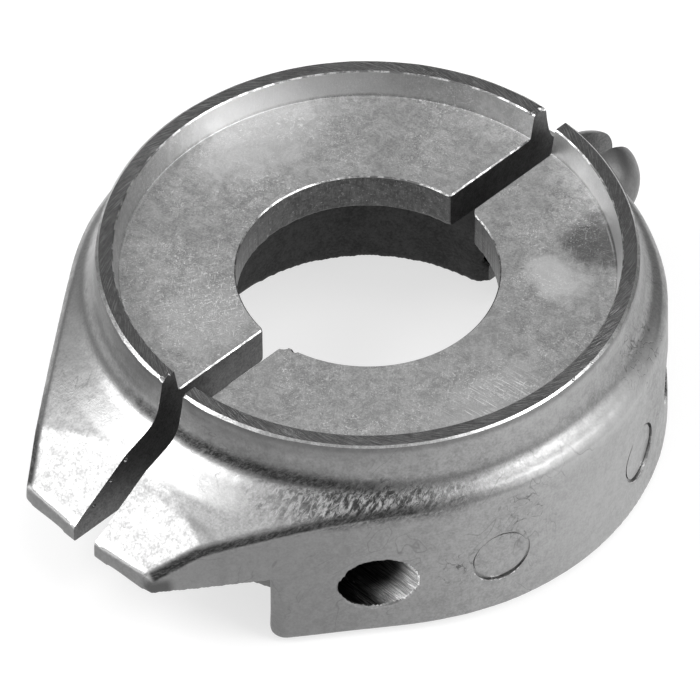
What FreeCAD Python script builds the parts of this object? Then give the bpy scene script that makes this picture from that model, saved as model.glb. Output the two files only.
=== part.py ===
# Split collar anode for a saildrive leg: two cast half rings that are drawn together round the
# shaft housing by two socket-head screws.
#
# +Z runs up along the ring's axis, and the slit between the halves lies in the plane X = 0. The fin
# points to -Y and the nose to +Y. The half with the screw holes is on +X, the tapped half on -X.
# Each half is drawn with Z = 0 at its base, and is then lowered until the origin lies on the bore's
# axis at the floor of the dish, where the collar seats.
import FreeCAD, Part
import math
import os
import Sketcher

doc = FreeCAD.newDocument("CollarAnode")

# Driving dimensions, in millimetres and degrees.
SIZES = [
    ("rim_height", 51.5, "base to the machined rim"),
    ("rim_radius", 60.0, "outer edge of the rim"),
    ("ledge_width", 5.65, "neck's foot out to the skirt's wall, measured at the base"),
    ("wall_draft", 1.5, "casting draft of the skirt and the fin, degrees"),
    ("neck_depth", 11.6, "rim down to the foot of the neck"),
    ("neck_draft", 11.0, "lean of the neck below the rim, degrees"),
    ("neck_round", 6.0, "radius of the hollow at the foot of the neck"),
    ("ledge_angle", 22.0, "fall of the ledge from the neck outwards, degrees"),
    ("shoulder_chamfer", 1.5, "chamfer of the shoulder between ledge and wall"),
    ("ledge_left", 0.15, "least width of ledge that stays between the hollow and the chamfer"),
    ("base_chamfer", 2.0, "chamfer of the skirt's lower edge"),
    ("fin_overhang", 20.6, "skirt out to the point of the fin"),
    ("fin_tip_half_width", 20.0, "half the width of the fin's blunt tip"),
    ("fin_tip_sweep", 1.3, "how far the tip's corners lie behind its point"),
    ("fin_tip_drop", 27.3, "rim down to the top of the tip's small upright face"),
    ("fin_tip_face", 3.7, "height of the tip's small upright face, down to the fin's flat underside"),
    ("crease_overhang", 3.4, "skirt out to the crease where the ledge turns down into the fin's facet"),
    ("notch_half_angle", 27.3, "the skirt is cut back this far each side of the slit, degrees"),
    ("notch_depth", 8.9, "how far the skirt is cut back"),
    ("notch_corner_round", 3.5, "upright corner where the skirt ends at the notch"),
    ("fin_corner_round", 2.0, "upright outer corner of the fin's tip"),
    ("nose_radius", 11.3, "rounded nose behind the ring"),
    ("nose_overhang", 4.4, "skirt out to the centre of the nose's round end"),
    ("nose_height", 22.3, "height of the nose's axis"),
    ("dish_depth", 6.7, "rim down to the dish floor"),
    ("rim_width", 3.5, "width of the machined rim"),
    ("dish_wall_lean", 1.2, "how far the dish wall leans out from floor to rim"),
    ("bore_radius", 29.25, "bore that grips the shaft housing"),
    ("flange_thickness", 9.7, "dish floor down to the flange's underside"),
    ("cavity_radius", 40.0, "hollow under the flange"),
    ("foot_width", 15.9, "width of the skirt's foot round the wide recess in the base"),
    ("recess_depth", 8.2, "depth of the recess in the base"),
    ("slit_width", 6.5, "gap between the two halves"),
    ("screw_spacing", 92.0, "distance between the two screw axes"),
    ("screw_height", 16.0, "height of the screw axes above the base"),
    ("screw_hole_radius", 4.5, "clearance hole for an 8 mm screw"),
    ("screw_head_hole_radius", 6.9, "counterbore for the screw's head"),
    ("screw_seat", 30.0, "slit plane to the counterbore's floor"),
    ("thread_radius", 4.0, "tapped hole for an 8 mm screw, at the thread's outside"),
    ("thread_depth", 22.0, "depth of the tapped holes from the slit face"),
    ("pin_mark_radius", 7.0, "round mould mark on the skirt"),
    ("pin_mark_depth", 0.55, "depth of a mould mark at its middle"),
    ("pin_mark_height", 17.0, "height of the mould marks above the base"),
    ("pin_mark_angle", 19.0, "mould marks each side of the middle of a half, degrees"),
    ("worn_corner_round", 3.0, "bore corners of the half with the screw holes"),
    ("sharp_corner_round", 1.0, "bore corners of the tapped half"),
    ("cavity_corner_round", 4.0, "corners of the hollow at the slit"),
]

sheet = doc.addObject("Spreadsheet::Sheet", "sizes")
for row, (alias, number, note) in enumerate(SIZES, start=1):
    sheet.set("A%d" % row, alias)
    sheet.set("B%d" % row, str(number))
    sheet.set("C%d" % row, note)
    sheet.setAlias("B%d" % row, alias)
doc.recompute()


def value(expression):
    """What an expression on the sizes comes to now."""
    return float(sheet.evalExpression(expression))


def vec(x, y, z=0.0):
    return FreeCAD.Vector(x, y, z)


def new_sketch(body, name, role):
    """An empty sketch on one of the body's own origin planes."""
    sketch = body.newObject("Sketcher::SketchObject", name)
    plane = next(f for f in body.Origin.OriginFeatures if f.Role == role)
    sketch.AttachmentSupport = [(plane, "")]
    sketch.MapMode = "FlatFace"
    return sketch


def dimension(sketch, kind, name, expression, *where):
    """A named dimension of a sketch that follows the sizes."""
    index = sketch.addConstraint(Sketcher.Constraint(kind, *where, value(expression)))
    sketch.renameConstraint(index, name)
    sketch.setExpression("Constraints." + name, expression)


def outline(sketch, corners):
    """A closed outline of straight lines. Each corner is a name and two expressions on the sizes."""
    points = [vec(value(across), value(up)) for name, across, up in corners]
    following = points[1:] + points[:1]
    for start, end in zip(points, following):
        sketch.addGeometry(Part.LineSegment(start, end), False)
    for i in range(len(points)):
        sketch.addConstraint(Sketcher.Constraint("Coincident", i, 2, (i + 1) % len(points), 1))
    for i, (name, across, up) in enumerate(corners):
        dimension(sketch, "DistanceX", name + "_across", across, -1, 1, i, 1)
        dimension(sketch, "DistanceY", name + "_up", up, -1, 1, i, 1)


def circle(sketch, name, across, up, radius):
    """A circle placed by three expressions on the sizes."""
    centre = vec(value(across), value(up))
    index = sketch.addGeometry(Part.Circle(centre, vec(0, 0, 1), value(radius)), False)
    dimension(sketch, "DistanceX", name + "_across", across, -1, 1, index, 3)
    dimension(sketch, "DistanceY", name + "_up", up, -1, 1, index, 3)
    dimension(sketch, "Radius", name + "_radius", radius, index)


def feature(body, kind, name, sketch, **settings):
    """A sketch-based feature; a setting given as text is an expression on the sizes."""
    made = body.newObject("PartDesign::" + kind, name)
    made.Profile = sketch
    for key, setting in settings.items():
        if isinstance(setting, str) and key != "Type":
            made.setExpression(key, setting)
        else:
            setattr(made, key, setting)
    settle(body)
    return made


def settle(body):
    """Recomputes, and stops at a feature that failed or left the solid as it was."""
    doc.recompute()
    for thing in body.Group:
        if "Invalid" in thing.State or "Error" in thing.State:
            raise RuntimeError("%s: %s failed" % (body.Label, thing.Name))
    before = body.Tip.BaseFeature
    if before is not None and abs(before.Shape.Volume - body.Tip.Shape.Volume) < 1e-3:
        raise RuntimeError("%s: %s changed nothing" % (body.Label, body.Tip.Name))


def samples(edge):
    """Three points along an edge, away from its ends."""
    first, last = edge.ParameterRange
    return [edge.valueAt(first + (last - first) * step / 4.0) for step in (1, 2, 3)]


def reach(point):
    """Distance from the ring's axis."""
    return math.hypot(point.x, point.y)


def dress_edges(body, kind, name, chosen, **sizes):
    """A fillet or chamfer on every edge of the body whose sample points all pass the test `chosen`."""
    names = ["Edge%d" % (i + 1) for i, edge in enumerate(body.Tip.Shape.Edges)
             if all(chosen(point) for point in samples(edge))]
    if not names:
        raise RuntimeError("%s: no edge for %s" % (body.Label, name))
    base = body.Tip
    dressed = body.newObject("PartDesign::" + kind, name)
    dressed.Base = (base, names)
    for key, size in sizes.items():
        dressed.setExpression(key, size)
    settle(body)


# Radii, heights and slopes that more than one feature shares, as expressions on the sizes.
NECK_FOOT_RADIUS = "(sizes.rim_radius + sizes.neck_depth * tan(sizes.neck_draft))"
NECK_FOOT_HEIGHT = "(sizes.rim_height - sizes.neck_depth)"
SKIRT_RADIUS = "(" + NECK_FOOT_RADIUS + " + sizes.ledge_width)"
FIN_TIP_HEIGHT = "(sizes.rim_height - sizes.fin_tip_drop)"
FIN_UNDERSIDE = "(" + FIN_TIP_HEIGHT + " - sizes.fin_tip_face)"
FIN_REACH = "(" + SKIRT_RADIUS + " + sizes.fin_overhang)"
CREASE_FALL = "((sizes.ledge_width + sizes.crease_overhang) * tan(sizes.ledge_angle))"
CREASE_HEIGHT = "(" + NECK_FOOT_HEIGHT + " - " + CREASE_FALL + ")"
FACET_SLOPE = "((%s - %s) / (sizes.fin_overhang - sizes.crease_overhang))" % (CREASE_HEIGHT, FIN_TIP_HEIGHT)
NOTCH_RADIUS = "(" + SKIRT_RADIUS + " - sizes.notch_depth)"
DISH_FLOOR_RADIUS = "(sizes.rim_radius - sizes.rim_width - sizes.dish_wall_lean)"
OUTSIDE = "(2 * " + FIN_REACH + ")"
HOLLOW_TURN = "(90 - sizes.neck_draft - sizes.ledge_angle)"
HOLLOW_WIDTH = "(sizes.neck_round * tan(%s / 2) * cos(sizes.ledge_angle))" % HOLLOW_TURN
LEAN = "(%s * tan(sizes.wall_draft))" % NECK_FOOT_HEIGHT
FREE_LEDGE = "((sizes.ledge_width - %s - %s) / cos(sizes.ledge_angle))" % (LEAN, HOLLOW_WIDTH)
ABOVE = "(sizes.rim_height + sizes.dish_depth)"
DISH_FLOOR = "(sizes.rim_height - sizes.dish_depth)"
FLANGE_UNDERSIDE = "(sizes.rim_height - sizes.dish_depth - sizes.flange_thickness)"


def ledge_height(point):
    """Height of the ledge's cone above a point."""
    fall = math.tan(math.radians(value("sizes.ledge_angle")))
    return value(NECK_FOOT_HEIGHT) - fall * (reach(point) - value(NECK_FOOT_RADIUS))


def facet_height(point):
    """Height of the fin's facet above a point."""
    return value(FIN_TIP_HEIGHT) + value(FACET_SLOPE) * (value(FIN_REACH) + point.y)


def plan_block(body):
    """The casting's outline from above: round skirt, and a fin whose flanks leave it tangentially."""
    sketch = new_sketch(body, "plan", "XY_Plane")
    radius = value(SKIRT_RADIUS)
    half_tip = value("sizes.fin_tip_half_width")
    point_y = -value(FIN_REACH)
    corner_y = point_y + value("sizes.fin_tip_sweep")
    corner_reach = math.hypot(half_tip, corner_y)
    corner_angle = math.atan2(corner_y, half_tip)
    touch_angle = corner_angle + math.acos(radius / corner_reach)
    touch = vec(radius * math.cos(touch_angle), radius * math.sin(touch_angle))
    mirrored = vec(-touch.x, touch.y)
    corner = vec(half_tip, corner_y)
    other_corner = vec(-half_tip, corner_y)
    tip = vec(0, point_y)
    skirt = Part.ArcOfCircle(Part.Circle(vec(0, 0), vec(0, 0, 1), radius), touch_angle,
                             math.pi - touch_angle)
    sketch.addGeometry(skirt, False)
    sketch.addGeometry(Part.LineSegment(mirrored, other_corner), False)
    sketch.addGeometry(Part.LineSegment(other_corner, tip), False)
    sketch.addGeometry(Part.LineSegment(tip, corner), False)
    sketch.addGeometry(Part.LineSegment(corner, touch), False)
    sketch.addConstraint(Sketcher.Constraint("Coincident", 0, 3, -1, 1))
    sketch.addConstraint(Sketcher.Constraint("Tangent", 0, 2, 1, 1))
    sketch.addConstraint(Sketcher.Constraint("Coincident", 1, 2, 2, 1))
    sketch.addConstraint(Sketcher.Constraint("Coincident", 2, 2, 3, 1))
    sketch.addConstraint(Sketcher.Constraint("Coincident", 3, 2, 4, 1))
    sketch.addConstraint(Sketcher.Constraint("Tangent", 4, 2, 0, 1))
    sketch.addConstraint(Sketcher.Constraint("PointOnObject", 3, 1, -2))
    sketch.addConstraint(Sketcher.Constraint("Symmetric", 2, 1, 3, 2, -2))
    dimension(sketch, "Radius", "skirt", SKIRT_RADIUS, 0)
    dimension(sketch, "DistanceX", "half_tip", "sizes.fin_tip_half_width", -1, 1, 3, 2)
    dimension(sketch, "DistanceY", "tip", "-" + FIN_REACH, -1, 1, 3, 1)
    dimension(sketch, "DistanceY", "sweep", "sizes.fin_tip_sweep", 3, 1, 3, 2)
    feature(body, "Pad", "casting", sketch, Length="sizes.rim_height", TaperAngle="-sizes.wall_draft")


def nose(body):
    """The rounded nose behind the ring: a short round bar with a ball end."""
    sketch = new_sketch(body, "nose_half_section", "YZ_Plane")
    sketch.AttachmentOffset = FreeCAD.Placement(vec(0, value("sizes.nose_height")), FreeCAD.Rotation())
    sketch.setExpression("AttachmentOffset.Base.y", "sizes.nose_height")
    radius = value("sizes.nose_radius")
    centre_reach = SKIRT_RADIUS + " + sizes.nose_overhang"
    centre = value(centre_reach)
    root = value("sizes.cavity_radius")
    sketch.addGeometry(Part.LineSegment(vec(centre + radius, 0), vec(root, 0)), False)
    sketch.addGeometry(Part.LineSegment(vec(root, 0), vec(root, radius)), False)
    sketch.addGeometry(Part.LineSegment(vec(root, radius), vec(centre, radius)), False)
    ball = Part.Circle(vec(centre, 0), vec(0, 0, 1), radius)
    sketch.addGeometry(Part.ArcOfCircle(ball, 0, math.pi / 2), False)
    sketch.addConstraint(Sketcher.Constraint("Coincident", 0, 2, 1, 1))
    sketch.addConstraint(Sketcher.Constraint("Coincident", 1, 2, 2, 1))
    sketch.addConstraint(Sketcher.Constraint("Tangent", 2, 2, 3, 2))
    sketch.addConstraint(Sketcher.Constraint("Coincident", 3, 1, 0, 1))
    sketch.addConstraint(Sketcher.Constraint("PointOnObject", 3, 3, -1))
    sketch.addConstraint(Sketcher.Constraint("PointOnObject", 0, 1, -1))
    sketch.addConstraint(Sketcher.Constraint("PointOnObject", 0, 2, -1))
    sketch.addConstraint(Sketcher.Constraint("Vertical", 1))
    sketch.addConstraint(Sketcher.Constraint("Horizontal", 2))
    dimension(sketch, "Radius", "ball", "sizes.nose_radius", 3)
    dimension(sketch, "DistanceX", "reach", centre_reach, -1, 1, 3, 3)
    dimension(sketch, "DistanceX", "root", "sizes.cavity_radius", -1, 1, 0, 2)
    feature(body, "Revolution", "nose", sketch, ReferenceAxis=(sketch, ["H_Axis"]), Angle=360.0)


def neck_hollow():
    """Corners of the hollow between neck and ledge: the arc that touches both, in three short chords."""
    chords = 3
    middle = "((90 + sizes.neck_draft - sizes.ledge_angle) / 2)"
    to_centre = "(sizes.neck_round / cos(" + HOLLOW_TURN + " / 2))"
    centre_across = "%s + %s * cos(%s)" % (NECK_FOOT_RADIUS, to_centre, middle)
    centre_up = "%s + %s * sin(%s)" % (NECK_FOOT_HEIGHT, to_centre, middle)
    corners = []
    for step in range(chords + 1):
        angle = "(180 + sizes.neck_draft + %s * %d / %d)" % (HOLLOW_TURN, step, chords)
        across = centre_across + " + sizes.neck_round * cos(%s)" % angle
        up = centre_up + " + sizes.neck_round * sin(%s)" % angle
        corners.append(("hollow_%d" % step, across, up))
    return corners


def neck_and_ledge(body):
    """Turns away what lies outside the neck, its hollow foot and the ledge that falls outwards."""
    sketch = new_sketch(body, "neck_section", "XZ_Plane")
    fall = " * tan(sizes.ledge_angle)"
    ledge_end = NECK_FOOT_HEIGHT + " - (" + OUTSIDE + " - " + NECK_FOOT_RADIUS + ")" + fall
    outline(sketch, [
        ("rim_edge", "sizes.rim_radius", "sizes.rim_height"),
        *neck_hollow(),
        ("ledge_end", OUTSIDE, ledge_end),
        ("outer_top", OUTSIDE, ABOVE),
        ("inner_top", "sizes.rim_radius", ABOVE),
    ])
    feature(body, "Groove", "neck", sketch, ReferenceAxis=(sketch, ["V_Axis"]), Angle=360.0)


def fin_facet(body):
    """The flat facet that slopes down to the fin's tip, the same height right across the fin."""
    sketch = new_sketch(body, "facet_section", "YZ_Plane")
    outer = "(" + FIN_REACH + " + sizes.fin_overhang)"
    outer_height = FIN_TIP_HEIGHT + " - sizes.fin_overhang * " + FACET_SLOPE
    inner_height = "%s + (%s - %s) * %s" % (FIN_TIP_HEIGHT, FIN_REACH, NECK_FOOT_RADIUS, FACET_SLOPE)
    outline(sketch, [
        ("low", "-" + outer, outer_height),
        ("high", "-" + NECK_FOOT_RADIUS, inner_height),
        ("high_top", "-" + NECK_FOOT_RADIUS, ABOVE),
        ("low_top", "-" + outer, ABOVE),
    ])
    feature(body, "Pocket", "facet", sketch, Type="ThroughAll", Midplane=True)


def fin_notch(body):
    """Under the fin the skirt is cut back to the wall round the hollow, up to the fin's underside."""
    sketch = new_sketch(body, "notch_plan", "XY_Plane")
    edge = NOTCH_RADIUS
    slope = " * tan(sizes.notch_half_angle)"
    inner_radius = value(edge)
    half = math.radians(value("sizes.notch_half_angle"))
    outer = value(OUTSIDE)
    down = -math.pi / 2
    inner_left = vec(inner_radius * math.cos(down - half), inner_radius * math.sin(down - half))
    inner_right = vec(-inner_left.x, inner_left.y)
    outer_right = vec(outer * math.tan(half), -outer)
    outer_left = vec(-outer_right.x, -outer)
    wall = Part.Circle(vec(0, 0), vec(0, 0, 1), inner_radius)
    sketch.addGeometry(Part.ArcOfCircle(wall, down - half, down + half), False)
    sketch.addGeometry(Part.LineSegment(inner_right, outer_right), False)
    sketch.addGeometry(Part.LineSegment(outer_right, outer_left), False)
    sketch.addGeometry(Part.LineSegment(outer_left, inner_left), False)
    sketch.addConstraint(Sketcher.Constraint("Coincident", 0, 3, -1, 1))
    sketch.addConstraint(Sketcher.Constraint("Coincident", 0, 2, 1, 1))
    sketch.addConstraint(Sketcher.Constraint("Coincident", 1, 2, 2, 1))
    sketch.addConstraint(Sketcher.Constraint("Coincident", 2, 2, 3, 1))
    sketch.addConstraint(Sketcher.Constraint("Coincident", 3, 2, 0, 1))
    sketch.addConstraint(Sketcher.Constraint("PointOnObject", -1, 1, 1))
    sketch.addConstraint(Sketcher.Constraint("PointOnObject", -1, 1, 3))
    dimension(sketch, "Radius", "wall", edge, 0)
    dimension(sketch, "DistanceX", "right_across", OUTSIDE + slope, -1, 1, 2, 1)
    dimension(sketch, "DistanceY", "right_up", "-" + OUTSIDE, -1, 1, 2, 1)
    dimension(sketch, "DistanceX", "left_across", "-" + OUTSIDE + slope, -1, 1, 2, 2)
    dimension(sketch, "DistanceY", "left_up", "-" + OUTSIDE, -1, 1, 2, 2)
    feature(body, "Pocket", "notch", sketch, Type="Length", Length=FIN_UNDERSIDE, Reversed=True)


def hub(body):
    """Everything turned about the axis inside: dish, bore through the flange, hollow and base recess."""
    sketch = new_sketch(body, "hub_section", "XZ_Plane")
    below = "-sizes.recess_depth"
    recess_radius = SKIRT_RADIUS + " - sizes.foot_width"
    top_radius = "(sizes.rim_radius - sizes.rim_width + sizes.dish_wall_lean)"
    outline(sketch, [
        ("axis_low", "0", below),
        ("recess_low", recess_radius, below),
        ("recess_top", recess_radius, "sizes.recess_depth"),
        ("cavity_low", "sizes.cavity_radius", "sizes.recess_depth"),
        ("cavity_top", "sizes.cavity_radius", FLANGE_UNDERSIDE),
        ("bore_low", "sizes.bore_radius", FLANGE_UNDERSIDE),
        ("bore_top", "sizes.bore_radius", DISH_FLOOR),
        ("dish_floor", DISH_FLOOR_RADIUS, DISH_FLOOR),
        ("dish_edge", top_radius, ABOVE),
        ("axis_top", "0", ABOVE),
    ])
    feature(body, "Groove", "hub", sketch, ReferenceAxis=(sketch, ["V_Axis"]), Angle=360.0)


def slit(body, side):
    """Cuts the ring's other half away, with half of the gap between the two castings."""
    sketch = new_sketch(body, "slit_plan", "XY_Plane")
    face = ("" if side > 0 else "-") + "sizes.slit_width / 2"
    far = ("-" if side > 0 else "") + OUTSIDE
    outline(sketch, [
        ("face_front", face, "-" + OUTSIDE),
        ("face_back", face, OUTSIDE),
        ("far_back", far, OUTSIDE),
        ("far_front", far, "-" + OUTSIDE),
    ])
    feature(body, "Pocket", "slit", sketch, Type="Length", Length=ABOVE, Reversed=True)


# An edge of a wall with draft may lie this far from where the plan puts it.
SLACK = 0.15


def near(length, other):
    return abs(length - other) < SLACK


def on_slit_face(point):
    return near(abs(point.x), value("sizes.slit_width / 2"))


def shoulder(body):
    """The shoulder where ledge and facet meet the outer wall, except across the fin's tip.

    Its chamfer leaves a narrow strip of the ledge, however wide the ledge is.
    """
    wall = value(SKIRT_RADIUS + " - sizes.rim_height * tan(sizes.wall_draft)")
    crease_half = value("sizes.fin_tip_half_width + sizes.neck_round")
    tip_half = value("sizes.fin_tip_half_width") - SLACK
    tip_back = value("sizes.fin_tip_sweep + sizes.fin_corner_round / 2 - " + FIN_REACH)

    def on_shoulder(point):
        ledge = ledge_height(point)
        facet = facet_height(point)
        crease = near(ledge, facet) and abs(point.x) < crease_half
        across_tip = abs(point.x) < tip_half and point.y < tip_back
        outside = reach(point) > wall - SLACK and near(point.z, min(ledge, facet))
        return outside and not crease and not across_tip and not on_slit_face(point)

    room = "min(sizes.shoulder_chamfer; %s - sizes.ledge_left)" % FREE_LEDGE
    dress_edges(body, "Chamfer", "shoulder", on_shoulder, Size=room)


def fin_corner(body):
    """The upright outer corner of the fin's tip."""
    tip_half = value("sizes.fin_tip_half_width")
    tip_back = value("sizes.fin_tip_sweep + sizes.fin_corner_round / 2 - " + FIN_REACH)
    draft_lean = value("sizes.rim_height * tan(sizes.wall_draft)")

    def on_fin_corner(point):
        upright = value(FIN_UNDERSIDE) < point.z < value(FIN_TIP_HEIGHT) + SLACK
        return abs(abs(point.x) - tip_half) < draft_lean and point.y < tip_back and upright

    dress_edges(body, "Fillet", "fin_corner", on_fin_corner, Radius="sizes.fin_corner_round")


def notch_distance(point):
    """Distance in plan from the notch's side wall."""
    half = math.radians(value("sizes.notch_half_angle"))
    return abs(abs(point.x) * math.cos(half) + point.y * math.sin(half))


def notch_corner(body):
    """The upright corner where the skirt ends under the fin."""

    def on_notch_corner(point):
        below_fin = point.z < value(FIN_UNDERSIDE) - SLACK
        outside = reach(point) > value(SKIRT_RADIUS) and point.y < 0
        return notch_distance(point) < SLACK and outside and below_fin

    dress_edges(body, "Fillet", "notch_corner", on_notch_corner, Radius="sizes.notch_corner_round")


def base_edge(body):
    """The skirt's lower edge, outside and round its two ends at the notch."""
    notch_wall = value(NOTCH_RADIUS)

    def on_base_edge(point):
        return near(point.z, 0) and reach(point) > notch_wall + SLACK and not on_slit_face(point)

    dress_edges(body, "Chamfer", "base_edge", on_base_edge, Size="sizes.base_chamfer")


def slit_corners(body, bore_round):
    """The upright corners where the hollow and the bore meet the slit."""
    bore = value("sizes.bore_radius")
    cavity = value("sizes.cavity_radius")
    flange = value(FLANGE_UNDERSIDE)

    def on_cavity_corner(point):
        return on_slit_face(point) and near(reach(point), cavity) and point.z < flange

    def on_bore_corner(point):
        return on_slit_face(point) and near(reach(point), bore) and point.z > flange

    dress_edges(body, "Fillet", "cavity_corners", on_cavity_corner, Radius="sizes.cavity_corner_round")
    dress_edges(body, "Fillet", "bore_corners", on_bore_corner, Radius=bore_round)


def screw_circles(body, name, radius):
    """Two circles on the slit plane, round the two screw axes."""
    sketch = new_sketch(body, name, "YZ_Plane")
    circle(sketch, "fin_side", "-sizes.screw_spacing / 2", "sizes.screw_height", radius)
    circle(sketch, "nose_side", "sizes.screw_spacing / 2", "sizes.screw_height", radius)
    return sketch


def screw_holes(body):
    """Clearance holes right through, opened out from the seat of the screw heads."""
    through = screw_circles(body, "clearance_circles", "sizes.screw_hole_radius")
    feature(body, "Pocket", "clearance_holes", through, Type="ThroughAll", Reversed=True)
    heads = screw_circles(body, "head_circles", "sizes.screw_head_hole_radius")
    heads.setExpression("AttachmentOffset.Base.z", "sizes.screw_seat")
    feature(body, "Pocket", "counterbores", heads, Type="ThroughAll", Reversed=True)


def tapped_holes(body):
    """Blind tapped holes in the slit face, in line with the screws; the fine thread is left out."""
    circles = screw_circles(body, "thread_circles", "sizes.thread_radius")
    feature(body, "Pocket", "tapped_holes", circles, Type="Length",
            Length="sizes.thread_depth + sizes.slit_width / 2")


def pin_marks(body, side):
    """Two shallow round marks that the mould's pins left on the skirt, either side of its middle."""
    wall = SKIRT_RADIUS + " - sizes.pin_mark_height * tan(sizes.wall_draft)"
    mark_wall = "(" + wall + " - sizes.pin_mark_depth)"
    for name, turn in (("fin_side_mark", "-"), ("nose_side_mark", "+")):
        angle = "(90 %s sizes.pin_mark_angle)" % turn
        across = "%d * %s * sin(%s)" % (side, mark_wall, angle)
        along = mark_wall + " * cos(" + angle + ")"
        sketch = new_sketch(body, name + "_circle", "XZ_Plane")
        circle(sketch, name, "0", "sizes.pin_mark_height", "sizes.pin_mark_radius")
        turned = FreeCAD.Rotation(vec(0, side), value(angle))
        sketch.AttachmentOffset = FreeCAD.Placement(vec(value(across), 0, value(along)), turned)
        sketch.setExpression("AttachmentOffset.Base.x", across)
        sketch.setExpression("AttachmentOffset.Base.z", along)
        sketch.setExpression("AttachmentOffset.Rotation.Angle", angle)
        feature(body, "Pocket", name, sketch, Type="ThroughAll", Reversed=True)


def cast_half(label, side, bore_round, holes):
    """One of the two castings: the ring's form, its slit side, its soft edges, its holes and marks."""
    body = doc.addObject("PartDesign::Body", label)
    body.Label = label
    for step in (plan_block, neck_and_ledge, fin_facet, shoulder, nose, fin_notch, fin_corner, hub):
        step(body)
    slit(body, side)
    for step in (notch_corner, base_edge):
        step(body)
    slit_corners(body, bore_round)
    holes(body)
    pin_marks(body, side)
    body.setExpression("Placement.Base.z", "-" + DISH_FLOOR)
    return body


halves = [
    cast_half("screw_side_half", 1, "sizes.worn_corner_round", screw_holes),
    cast_half("tapped_side_half", -1, "sizes.sharp_corner_round", tapped_holes),
]

doc.recompute()
for thing in doc.Objects:
    if "Invalid" in thing.State or "Error" in thing.State:
        raise RuntimeError("%s failed" % thing.Label)
os.makedirs("parts", exist_ok=True)
for half in halves:
    shape = half.Shape
    if shape.isNull() or not shape.isValid() or len(shape.Solids) != 1:
        raise RuntimeError("%s isn't one valid solid" % half.Label)
    shape.exportStep("parts/%s.step" % half.Label)
    print("%s: %.0f mm3" % (half.Label, shape.Volume))
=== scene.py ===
import math

import bmesh
import bpy
import numpy as np
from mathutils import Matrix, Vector, noise


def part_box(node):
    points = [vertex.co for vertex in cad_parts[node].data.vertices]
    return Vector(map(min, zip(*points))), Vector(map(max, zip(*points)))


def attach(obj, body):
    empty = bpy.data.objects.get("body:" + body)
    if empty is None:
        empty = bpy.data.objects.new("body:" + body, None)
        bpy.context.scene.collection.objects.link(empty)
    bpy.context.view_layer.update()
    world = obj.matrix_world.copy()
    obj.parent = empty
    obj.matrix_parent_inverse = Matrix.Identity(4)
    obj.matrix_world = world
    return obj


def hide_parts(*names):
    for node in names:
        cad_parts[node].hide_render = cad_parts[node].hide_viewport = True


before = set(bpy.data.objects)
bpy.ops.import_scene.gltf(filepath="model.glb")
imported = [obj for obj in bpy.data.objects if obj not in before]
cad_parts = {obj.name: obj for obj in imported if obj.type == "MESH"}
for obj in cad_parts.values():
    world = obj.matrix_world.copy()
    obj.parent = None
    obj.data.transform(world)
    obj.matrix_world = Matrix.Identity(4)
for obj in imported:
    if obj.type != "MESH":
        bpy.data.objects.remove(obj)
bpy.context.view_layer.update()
MM = 0.001

# The two castings before machining. Each half of the collar is die-cast in an aluminium alloy, with
# soft corners, a slightly wavy skin, and stock left on the rim, the dish and the slit face, which
# are machined once the piece is out of its mould.
rim_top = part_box("screw_side_half")[1].z
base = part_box("screw_side_half")[0].z
slit_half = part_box("screw_side_half")[0].x
dish_edge_radius = 56.5 * MM
dish_floor_radius = 55.3 * MM
stock = 2.0 * MM
skin_step = 0.62 * MM
skin_passes = 6
HAIR = 0.02 * MM


def only(piece):
    """Selects one piece and nothing else."""
    bpy.ops.object.select_all(action="DESELECT")
    piece.select_set(True)
    bpy.context.view_layer.objects.active = piece


def pick(piece, chosen):
    """In edit mode, selects the corners whose places pass the test."""
    bpy.ops.mesh.select_mode(type="VERT")
    bpy.ops.mesh.select_all(action="DESELECT")
    drawn = bmesh.from_edit_mesh(piece.data)
    for corner in drawn.verts:
        corner.select = chosen(corner.co)
    drawn.select_flush(True)
    bmesh.update_edit_mesh(piece.data)


def reach(place):
    return math.hypot(place.x, place.y)


def add_stock(piece, side):
    """Draws the faces that will be machined out by the stock that the casting has there."""
    bpy.ops.object.mode_set(mode="EDIT")
    bpy.ops.mesh.select_all(action="SELECT")
    bpy.ops.mesh.remove_doubles(threshold=HAIR / 4)
    pick(piece, lambda place: place.z > rim_top - HAIR or abs(place.z) < HAIR)
    bpy.ops.transform.translate(value=(0, 0, stock))
    pick(piece, lambda place: place.z > stock - HAIR
         and dish_floor_radius - stock < reach(place) < dish_edge_radius + stock / 2)
    share = (dish_floor_radius - stock) / dish_floor_radius
    bpy.ops.transform.resize(value=(share, share, 1), center_override=(0, 0, 0))
    pick(piece, lambda place: abs(place.x) < slit_half + HAIR)
    bpy.ops.transform.translate(value=(-side * stock, 0, 0))
    bpy.ops.object.mode_set(mode="OBJECT")


def soften(piece, passes):
    """Rounds the corners of the skin."""
    only(piece)
    smoothing = piece.modifiers.new("soften", "SMOOTH")
    smoothing.factor = 0.5
    smoothing.iterations = passes
    bpy.ops.object.modifier_apply(modifier="soften")


def places_of(piece, what):
    """The corners' places or normals, as rows of three numbers."""
    rows = np.empty(len(piece.data.vertices) * 3)
    if what == "normal":
        piece.data.vertex_normals.foreach_get("vector", rows)
    else:
        piece.data.vertices.foreach_get("co", rows)
    return rows.reshape(-1, 3)


def ripple(piece):
    """The casting's skin isn't quite true: shallow waves, sunk and never proud."""
    waves = ((14.0 * MM, 0.16 * MM), (5.0 * MM, 0.05 * MM), (2.2 * MM, 0.02 * MM))
    places = places_of(piece, "place")
    depth = np.zeros(len(places))
    for length, height in waves:
        depth += [abs(noise.noise(Vector(place) / length)) * height for place in places]
    places -= places_of(piece, "normal") * depth[:, None]
    piece.data.vertices.foreach_set("co", places.ravel())
    piece.data.update()


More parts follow.
